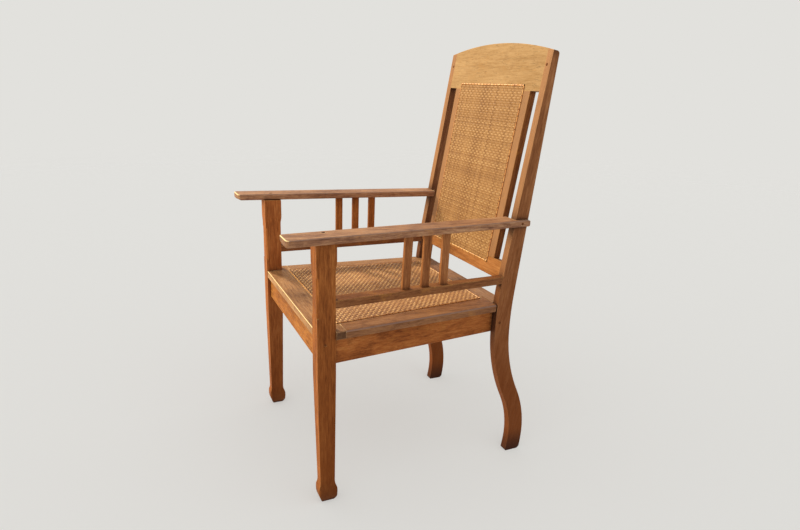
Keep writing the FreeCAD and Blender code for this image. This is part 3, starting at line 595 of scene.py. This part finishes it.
REAR_BOARD_TONES = (tone(92, 62, 46), tone(148, 110, 84), tone(180, 140, 110))
SIDE_RAIL_TONES = (tone(86, 50, 30), tone(132, 84, 52), tone(164, 114, 72))
ARM_TONES = (tone(90, 58, 48), tone(156, 110, 80), tone(206, 160, 120))
# Pale edges: rubbing, and painted highlight where the light catches an edge.
RUB_AND_HIGHLIGHT = tone(214, 166, 106)
BRIGHT_RUB_AND_HIGHLIGHT = tone(246, 216, 164)


# %% [markdown]
# A picture of a board would repeat from piece to piece, so the grain is made of noises that
# are stretched along the board: fine lines, slow bands, patches from honey to chestnut, and
# dark pores like pencil ticks. A mottle of grime and of golden spots lies over it. A noise's
# scale says how many details it has to the metre.
# %% The grain
LINE_STRETCH = (0.09, 1, 1)
TICK_STRETCH = (0.05, 1, 1)
PATCH_STRETCH = (0.35, 1, 1)
MOTTLE_STRETCH = (0.7, 1, 1)


def grain(finish, along, tones, mottled):
    """The grain's colour, and the three patterns that gloss and relief use again."""
    drawn_out = finish.vector("MULTIPLY", along, LINE_STRETCH)
    lines = finish.noise(drawn_out, 200, 4, 0.7, 0.6)
    bands = finish.noise(drawn_out, 30, 3, 0.55, 1.2)
    patches = finish.noise(finish.vector("MULTIPLY", along, PATCH_STRETCH), 12, 4, 0.65)
    fine = finish.noise(finish.vector("MULTIPLY", along, TICK_STRETCH), 560, 3, 0.75)
    pores = finish.step(fine, 0.58, 0.70)
    heart = 0.25 * bands + 0.45 * lines + 0.25 * patches + 0.4 * fine - 0.175
    dark, middle, light = tones
    colour = finish.ramp(heart, ((0.34, dark), (0.50, middle), (0.66, light)))
    mottle = finish.noise(finish.vector("MULTIPLY", along, MOTTLE_STRETCH), 32, 5, 0.75)
    colour = finish.mix(finish.step(mottle, 0.52, 0.66) * mottled, colour, GRIME)
    colour = finish.mix(finish.step(mottle, 0.46, 0.34) * (0.7 * mottled), colour, GOLD)
    return finish.mix(pores * 0.4, colour, PORE), lines, patches, pores


# %% [markdown]
# Height over the floor sets much of the colour. Below the arms the wood is painted browner
# downwards, as shade that deepens towards the floor, least so on faces that look ahead into
# the light. The back's uprights are painted paler in front, above the seat, as light falling
# on them, and the last few centimetres of the feet are darker still.
# %% Painted shade below, painted light above
FEET_FROM, FEET_FULL = 0.075, 0.015
LIT_FRONT_FROM, LIT_FRONT_FULL = 0.45, 0.6
LOW_FULL = -0.05
FEET_SHARE = 0.35


def shade_and_light_by_height(finish, colour, height, patches, ahead, look):
    """Ahead is 1 where the surface looks to the front of the chair."""
    # Painted shade that deepens towards the floor, less on faces lit from the front.
    low = finish.step(height + 0.25 * (patches - 0.5), look["low_from"], LOW_FULL)
    low = low * look["low_share"] * (1 - ahead * look["low_spared_ahead"])
    colour = finish.mix(low, colour, LOW_SHADE_BROWN)
    # Painted light: front faces above the seat turn paler.
    above_seat = finish.step(height, LIT_FRONT_FROM, LIT_FRONT_FULL)
    colour = finish.mix(ahead * above_seat * look["lit_front"], colour, LIT_FRONT_PALE)
    return finish.mix(finish.step(height, FEET_FROM, FEET_FULL) * FEET_SHARE, colour, STAIN_AND_SHADE)


# %% [markdown]
# Hands and clothes rub the edges pale, mostly those that face up, and the pale line is also a
# painted highlight where the light catches an edge. They could be painted by hand, piece by
# piece, but a bevelled normal finds them all, for it turns away from the true one only near
# an edge. Where boards are held and sat on, the rounded arrises carry a painted grey sheen,
# a sky reflection, on the sitter's left and a painted highlight in front. Sawn ends stay dark.
# %% Pale edges and dark ends
EDGE_WIDTH = 3.0 * MM


def pale_edges_and_dark_ends(finish, colour, normal, ends, look):
    """Ends is 1 where the surface is end grain, 0 along the board."""
    softened = finish.node("ShaderNodeBevel", {"samples": RAY_SAMPLES}, {"Radius": EDGE_WIDTH})
    edge = finish.step(finish.vector("DOT_PRODUCT", normal, softened, output=1), 0.995, 0.90)
    kept = 1 - finish.step(ends, 0.25, 0.6) * look["end_dark"]
    patchy = finish.step(finish.noise(finish.place_on(), 30, 3, 0.5), 0.3, 0.56) * kept
    skyward = finish.step(finish.part(softened, 2), 0.05, 0.3)
    # Pale edges: rubbing, and painted highlight.
    rub_and_highlight = edge * patchy * look["rub_and_highlight_share"] * (0.15 + 0.85 * skyward)
    colour = finish.mix(rub_and_highlight, colour, look["rub_and_highlight"])
    # Rounded arrises: painted grey sky reflection on the sitter's left, painted highlight in front.
    if look["painted_arrises"]:
        rise = finish.part(normal, 2)
        arris = finish.step(rise, 0.1, 0.35) * finish.step(rise, 0.98, 0.9)
        sideways = finish.step(finish.part(normal, 0), 0.2, 0.5)
        forward = finish.step(finish.part(normal, 1), -0.1, -0.4)
        colour = finish.mix(arris * sideways * kept * 0.6, colour, GREY_SHEEN)
        colour = finish.mix(arris * forward * 0.9, colour, look["rub_and_highlight"])
    sawn = finish.step(ends, 0.8, 0.95) * (1 - 0.4 * edge) * look["end_dark"]
    return finish.mix(sawn, colour, PORE)


# %% [markdown]
# Grime settles where surfaces meet, and shade falls there too; ambient occlusion finds such
# corners by itself, and they are darkened as grime and painted shade. The posts are painted
# darker still, as shade, in the narrow slots beside the back panel, and are darker at their
# tips except in front. Then everything comes together in one material. Each board has its
# own, because it knows which way the board runs and starts elsewhere in the tree.
# %% Teak
DUST_AND_SHADE_REACH = 14 * MM
SLOT_REACH = 70 * MM
TIP_FROM, TIP_FULL = 1.04, 1.065
GRAIN_RELIEF = 0.35 * MM


def teak(name, run, tones, start, look):
    finish = Finish(name)
    place_on = finish.place_on()
    turn = run.rotation_difference(ACROSS).to_euler()
    along = finish.node("ShaderNodeMapping", {"vector_type": "POINT"},
                        {"Vector": place_on, "Rotation": tuple(turn), "Location": start})
    colour, lines, patches, pores = grain(finish, along, tones, look["mottled"])
    height = finish.part(place_on, 2)
    normal = finish.node("ShaderNodeNewGeometry", {}, {}, 1)
    ahead = finish.step(finish.part(normal, 1), -0.7, -0.95)
    colour = shade_and_light_by_height(finish, colour, height, patches, ahead, look)
    ends = abs(finish.vector("DOT_PRODUCT", finish.facing(), tuple(run.normalized()), output=1))
    colour = pale_edges_and_dark_ends(finish, colour, normal, ends, look)
    # Corners: settled grime and painted shade.
    dust_and_shade = finish.step(finish.openness(DUST_AND_SHADE_REACH), 0.85, 0.35)
    colour = finish.mix(dust_and_shade * 0.65, colour, STAIN_AND_SHADE)
    if look["slotted"]:
        # Painted shade in the narrow slots beside the back panel.
        narrow = finish.step(finish.openness(SLOT_REACH), 0.95, 0.55)
        colour = finish.mix(narrow * 0.8, colour, STAIN_AND_SHADE)
        tip = finish.step(height, TIP_FROM, TIP_FULL) * (1 - ahead)
        colour = finish.mix(tip * 0.55, colour, STAIN_AND_SHADE)
    roughness = 0.42 + 0.22 * patches + 0.12 * pores + 0.1 * dust_and_shade
    relief = 0.7 * lines - 0.9 * pores
    return finish.end(colour, roughness, relief, GRAIN_RELIEF, look["shine"])


# %% [markdown]
# Each piece is cut with its grain along its length: legs, posts, slats and muntins upright,
# rails and boards across, arms and side pieces front to back. These tables give each piece
# its run and its tones by the start and the end of its name.
# %% Run and tones of every piece
LEAN = math.radians(9.6)
UP_THE_RAKE = Vector((0, math.sin(LEAN), math.cos(LEAN)))
RUNS = (
    ("front_leg", UP), ("back_post", UP_THE_RAKE), ("back_muntin", UP_THE_RAKE),
    ("arm_slat", UP), ("crest_rail", ACROSS), ("lower_back_rail", ACROSS),
    ("front_apron", ACROSS), ("rear_apron", ACROSS), ("seat_front", ACROSS),
    ("seat_rear", ACROSS), ("side_apron", TO_REAR), ("seat_side", TO_REAR),
    ("lower_side_rail", TO_REAR), ("arm_", TO_REAR))
WOODS = (
    ("crest", "", CREST_TONES), ("back_post", "", POST_TONES), ("back_muntin", "", REAR_TONES),
    ("front_apron", "", AMBER_TONES), ("lower_back_rail", "", RAIL_TONES),
    ("rear_apron", "", DARK_TONES), ("front_leg", "left", LEG_TONES),
    ("front_leg", "right", RED_TONES), ("arm_slat", "left", SLAT_TONES),
    ("arm_slat", "right", LEG_TONES), ("lower_side_rail", "", SIDE_RAIL_TONES),
    ("side_apron", "", APRON_TONES), ("arm_", "", ARM_TONES), ("seat_front", "", FRONT_TONES),
    # The seat's right side board has the lighter front tones as painted light, since it lies in the
    # arm's shadow.
    ("seat_rear", "", REAR_BOARD_TONES), ("seat_side", "right", FRONT_TONES),
    ("seat_side", "left", BOARD_TONES))
REPLACED = ("seat_cane_panel", "seat_cane_edging", "back_cane_panel", "back_cane_edging")
wooden = [name for name in sorted(nodes) if name not in REPLACED]


def run_of(name):
    return next(run for start, run in RUNS if name.startswith(start))


def tones_of(name):
    return next(tones for start, end, tones in WOODS
                if name.startswith(start) and name.endswith(end))


print(len(wooden), "wooden nodes,", len(WOODS), "kinds of tone")

# %% [markdown]
# One look serves for all, and a few kinds of piece change it. Crest, posts, rails, slats and
# legs are calm, with little mottle. Arms and seat boards are held and sat on, so they are
# shinier, with paler edges, and their arrises carry a painted sheen and highlight. The posts
# are painted darker from higher up, as shade, and the back's uprights paler in front, as
# painted light.
# %% Looks, and the wood for every piece
FRAME_LOOK = {"shine": 0.04, "mottled": 0.4, "rub_and_highlight_share": 0.45, "rub_and_highlight": RUB_AND_HIGHLIGHT, "end_dark": 0.2,
              "low_from": 0.62, "low_share": 0.7, "low_spared_ahead": 0.8, "lit_front": 0.0,
              "painted_arrises": False, "slotted": False}
CHANGED_LOOKS = (
    (("crest", "back_post", "lower_back_rail", "arm_slat", "front_leg"), {"mottled": 0.12}),
    (("seat_front", "seat_side", "arm_left", "arm_right"),
     {"shine": 0.12, "rub_and_highlight_share": 0.9, "rub_and_highlight": BRIGHT_RUB_AND_HIGHLIGHT, "painted_arrises": True}),
    (("seat_front",), {"end_dark": 0.75}),
    (("back_muntin",), {"lit_front": 0.6}),
    (("back_post",), {"low_from": 0.95, "low_share": 0.85, "low_spared_ahead": 0.0,
                      "lit_front": 0.45, "slotted": True}))
SMALL = ("peg", "plug")
STEP_IN_TREE = Vector((0.37, 0.73, 0.19))


def look_of(name):
    look = dict(FRAME_LOOK)
    for starts, changes in CHANGED_LOOKS:
        if name.startswith(starts):
            look.update(changes)
    return look


def is_small(name):
    return any(word in name for word in SMALL)


def give(name, material):
    nodes[name].data.materials.clear()
    nodes[name].data.materials.append(material)


for index, name in enumerate(wooden):
    if not is_small(name):
        start = tuple(index * STEP_IN_TREE)
        give(name, teak("teak_" + name, run_of(name), tones_of(name), start, look_of(name)))
print(sum(not is_small(name) for name in wooden), "boards, legs and rails of teak")


# %% [markdown]
# Pegs and plugs show their end grain. The pegs in the legs and the crest have taken the
# colour of the wood round them; the plugs in the arms are nearly black from hands and wax.
# %% End grain
PEG_SHINE = 0.05
PEG_RELIEF = 0.2 * MM


def end_grain(name, dark, light):
    finish = Finish(name)
    fibres = finish.noise(finish.place_on(), 1400, 3, 0.7)
    colour = finish.ramp(fibres, ((0.35, dark), (0.65, light)))
    return finish.end(colour, 0.6 + 0.2 * fibres, fibres, PEG_RELIEF, PEG_SHINE)


peg_finish = end_grain("peg_end_grain", tone(78, 40, 20), tone(118, 68, 36))
plug_finish = end_grain("plug_end_grain", tone(46, 26, 18), tone(92, 56, 38))
small = [name for name in wooden if is_small(name)]
for name in small:
    give(name, plug_finish if "plug" in name else peg_finish)
print(len(small), "nodes of pegs and plugs")


# %% [markdown]
# The cane is straw to amber, a little different from strip to strip, with fine lines along
# each strip. A strip's place in its row, rounded down, gives it a tone of its own, so all of
# a sheet can share one material. The sitter has polished the seat's cane, and the back's has
# gone dull. Where strips dive under one another, painted shade darkens them and makes the
# weave stand out.
# %% Woven cane
BACK_CANES = ((tone(116, 75, 42), tone(150, 107, 65), tone(174, 130, 85)),
              (tone(120, 80, 47), tone(159, 116, 73), tone(186, 146, 102)))
SEAT_CANES = ((tone(112, 70, 38), tone(150, 100, 60), tone(178, 128, 82)),
              (tone(150, 102, 58), tone(194, 142, 88), tone(222, 178, 120)))
# Painted shade in the weave and along the beads.
CANE_SHADE = tone(60, 34, 18)
SEAT_SHINE, BACK_SHINE = 0.35, 0.12
STRIP_STRETCH = 0.06
STRIP_SHADE_REACH = 2.5 * MM
STRIP_RELIEF = 0.08 * MM


def cane(name, panel, pitch, crosswise, tones, shine):
    finish = Finish(name)
    place_on = finish.place_on()
    inverse = panel.board.inverted()
    turned = finish.node("ShaderNodeMapping", {"vector_type": "POINT"},
                         {"Vector": place_on, "Rotation": tuple(inverse.to_euler()),
                          "Location": tuple(inverse.translation)})
    strip = (finish.part(turned, 1 if crosswise else 0) / pitch).math("FLOOR")
    own = finish.node("ShaderNodeTexWhiteNoise", {"noise_dimensions": "1D"}, {"W": strip})
    stretch = (STRIP_STRETCH, 1, 1) if crosswise else (1, STRIP_STRETCH, 1)
    fibres = finish.noise(finish.vector("MULTIPLY", turned, stretch), 900, 2, 0.6)
    patches = finish.noise(place_on, 14, 3, 0.6)
    heart = 0.25 * own + 0.2 * patches + 0.45 * fibres + 0.05
    dark, middle, light = tones
    colour = finish.ramp(heart, ((0.25, dark), (0.48, middle), (0.72, light)))
    # Painted shade where strips dive under one another.
    painted_shade = finish.step(finish.openness(STRIP_SHADE_REACH), 0.75, 0.2)
    colour = finish.mix(painted_shade * 0.8, colour, CANE_SHADE)
    return finish.end(colour, 0.45 + 0.2 * patches, fibres, STRIP_RELIEF, shine)


# %% [markdown]
# The beads are rounder and yellower than the weave, with painted shade on their flanks and
# where they meet the wood. The loops are a deeper brown, so that they show as small ticks.
# %% Cane of the beads and their loops
BEAD_TONES = (tone(156, 92, 42), tone(206, 142, 76), tone(236, 192, 126))
# Painted shade on the bead's flanks.
BEAD_FLANK_SHADE = tone(160, 88, 36)
LOOP_TONES = (tone(104, 58, 26), tone(166, 104, 54))
BEAD_SHADE_REACH = 4 * MM
BEAD_RELIEF = 0.1 * MM
BEAD_SHINE, LOOP_SHINE = 0.3, 0.2
BEAD_COAT = 0.1


def bead_cane():
    finish = Finish("bead_cane")
    place_on = finish.place_on()
    patches = finish.noise(place_on, 60, 3, 0.6)
    fibres = finish.noise(place_on, 500, 2)
    dark, middle, light = BEAD_TONES
    heart = 0.7 * patches + 0.3 * fibres
    colour = finish.ramp(heart, ((0.3, dark), (0.5, middle), (0.7, light)))
    # Painted shade on the flanks, which face sideways.
    flank = finish.step(abs(finish.part(finish.facing(), 0)), 0.15, 0.55)
    colour = finish.mix(flank * 0.8, colour, BEAD_FLANK_SHADE)
    # Painted shade where the bead meets the wood.
    painted_shade = finish.step(finish.openness(BEAD_SHADE_REACH), 0.68, 0.42)
    colour = finish.mix(painted_shade * 0.9, colour, CANE_SHADE)
    return finish.end(colour, 0.35 + 0.2 * patches, fibres, BEAD_RELIEF, BEAD_SHINE, BEAD_COAT)


def loop_cane():
    finish = Finish("loop_cane")
    patches = finish.noise(finish.place_on(), 80, 3, 0.6)
    dark, light = LOOP_TONES
    colour = finish.ramp(patches, ((0.3, dark), (0.7, light)))
    return finish.end(colour, 0.4 + 0.2 * patches, patches, BEAD_RELIEF, LOOP_SHINE)


# %% [markdown]
# Every piece of cane now gets its material, rides on the chair's one body and takes the
# place of the plain solid that stood for it.
# %% Put the cane on the chair
bead_finish = bead_cane()
loop_finish = loop_cane()
CANE_WORK = (
    ("seat", seat_panel, (seat_pairs, seat_cross), (seat_bead, seat_loops), SEAT_CANES, SEAT_SHINE),
    ("back", back_panel, (back_pairs, back_cross), (back_bead, back_loops), BACK_CANES, BACK_SHINE))


def join_chair(piece, material):
    piece.data.materials.append(material)
    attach(piece, "root")


for title, panel, (pairs, cross), (rim, loops), (pair_tones, cross_tones), shine in CANE_WORK:
    pair_finish = cane(title + "_pair_cane", panel, PAIR_PITCH, False, pair_tones, shine)
    cross_finish = cane(title + "_cross_cane", panel, CROSS_PITCH, True, cross_tones, shine)
    join_chair(pairs, pair_finish)
    join_chair(cross, cross_finish)
    join_chair(rim, bead_finish)
    join_chair(loops, loop_finish)
    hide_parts(title + "_cane_panel")
    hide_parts(title + "_cane_edging")
    print(title, "cane is on the chair")

# %% [markdown]
# The stage is a wide pale floor that fades into an equally pale world before its far edge,
# so that no horizon crosses the picture. The floor gets its light from the world alone. What
# a matt floor soaks up it gives back as a faint glow of its own, so both have one tone. The
# picture is developed with the Standard view, which keeps the browns as deep as they are.
# %% Floor and world
FLOOR_RADIUS = 12
FLOOR_SIDES = 96
FADE_START, FADE_END = 3.0, 9.0
PALE = tone(226, 225, 221)
FLOOR_SHARE = 0.45

deselect_all()
bpy.ops.mesh.primitive_circle_add(vertices=FLOOR_SIDES, radius=FLOOR_RADIUS, fill_type="NGON")
floor = bpy.context.object
floor.name = floor.data.name = "pale_floor"


def floor_finish():
    finish = Finish("pale_floor")
    reach = finish.vector("LENGTH", finish.place_on(), output=1)
    lit = (FLOOR_SHARE, FLOOR_SHARE, FLOOR_SHARE, 1)
    solid = finish.node("ShaderNodeBsdfDiffuse", {}, {"Color": lit, "Roughness": 0.5})
    glow = finish.node("ShaderNodeEmission", {}, {"Color": PALE, "Strength": 1 - FLOOR_SHARE})
    solid = finish.node("ShaderNodeAddShader", {}, {0: solid, 1: glow})
    clear = finish.node("ShaderNodeBsdfTransparent", {}, {"Color": (1, 1, 1, 1)})
    gone = finish.step(reach, FADE_START, FADE_END)
    return finish.finished(finish.node("ShaderNodeMixShader", {}, {0: gone, 1: solid, 2: clear}))


floor.data.materials.append(floor_finish())

world = bpy.data.worlds.new("studio")
bpy.context.scene.world = world
world.use_nodes = True
background = world.node_tree.nodes["Background"]
background.inputs["Color"].default_value = PALE
background.inputs["Strength"].default_value = 1.0
bpy.context.scene.view_settings.view_transform = "Standard"
print("floor", FLOOR_RADIUS, "m round, fades from", FADE_START, "to", FADE_END, "m")

# %% [markdown]
# The key light is warm and comes from the sitter's right, a little in front and about as
# high as an afternoon sun, so the front edges glow, the near side stays brown and the far
# slats lay soft streaks on the seat. A weaker one stands in front and lights what faces it.
# Both light only the chair: each has a collection that leaves the floor out.
# %% Lights
LIGHT_AIM = Vector((0, 0, 0.5))
LAMPS = (
    ("key", (-3.85, -1.4, 3.35), 0.7, 250, (1.0, 0.86, 0.6)),
    ("front", (-1.0, -4.5, 1.2), 2.0, 165, (1.0, 0.93, 0.56)))

unlit = bpy.data.collections.new("unlit_by_lamps")
unlit.objects.link(floor)
unlit.collection_objects[0].light_linking.link_state = "EXCLUDE"


def panel_light(name, place_at, size, power, colour):
    data = bpy.data.lights.new(name, "AREA")
    data.shape = "DISK"
    data.size = size
    data.energy = power
    data.color = colour
    light = bpy.data.objects.new(name, data)
    bpy.context.scene.collection.objects.link(light)
    light.location = place_at
    light.rotation_mode = "QUATERNION"
    light.rotation_quaternion = (LIGHT_AIM - Vector(place_at)).to_track_quat("-Z", "Y")
    light.light_linking.receiver_collection = unlit
    print(name, "light,", power, "W")


for lamp in LAMPS:
    panel_light(*lamp)

# %% [markdown]
# The camera stands at the sitter's left front, a little lower than the top of the back, and
# looks slightly down. Its place, its three turns and its lens come from lines measured in
# the photograph.
# %% Camera
CAMERA_PLACE = (1.51099, -0.63123, 0.97871)
CAMERA_YAW = math.radians(65.71)
CAMERA_PITCH = math.radians(16.3)
CAMERA_ROLL = math.radians(1.58)
LENS = 27.98
SENSOR_WIDTH = 36

camera = bpy.data.objects.new("camera", bpy.data.cameras.new("camera"))
bpy.context.scene.collection.objects.link(camera)
camera.data.lens = LENS
camera.data.sensor_width = SENSOR_WIDTH
turns = (Matrix.Rotation(CAMERA_YAW, 4, "Z") @ Matrix.Rotation(math.pi / 2 - CAMERA_PITCH, 4, "X")
         @ Matrix.Rotation(CAMERA_ROLL, 4, "Z"))
camera.matrix_world = Matrix.Translation(CAMERA_PLACE) @ turns
bpy.context.scene.camera = camera
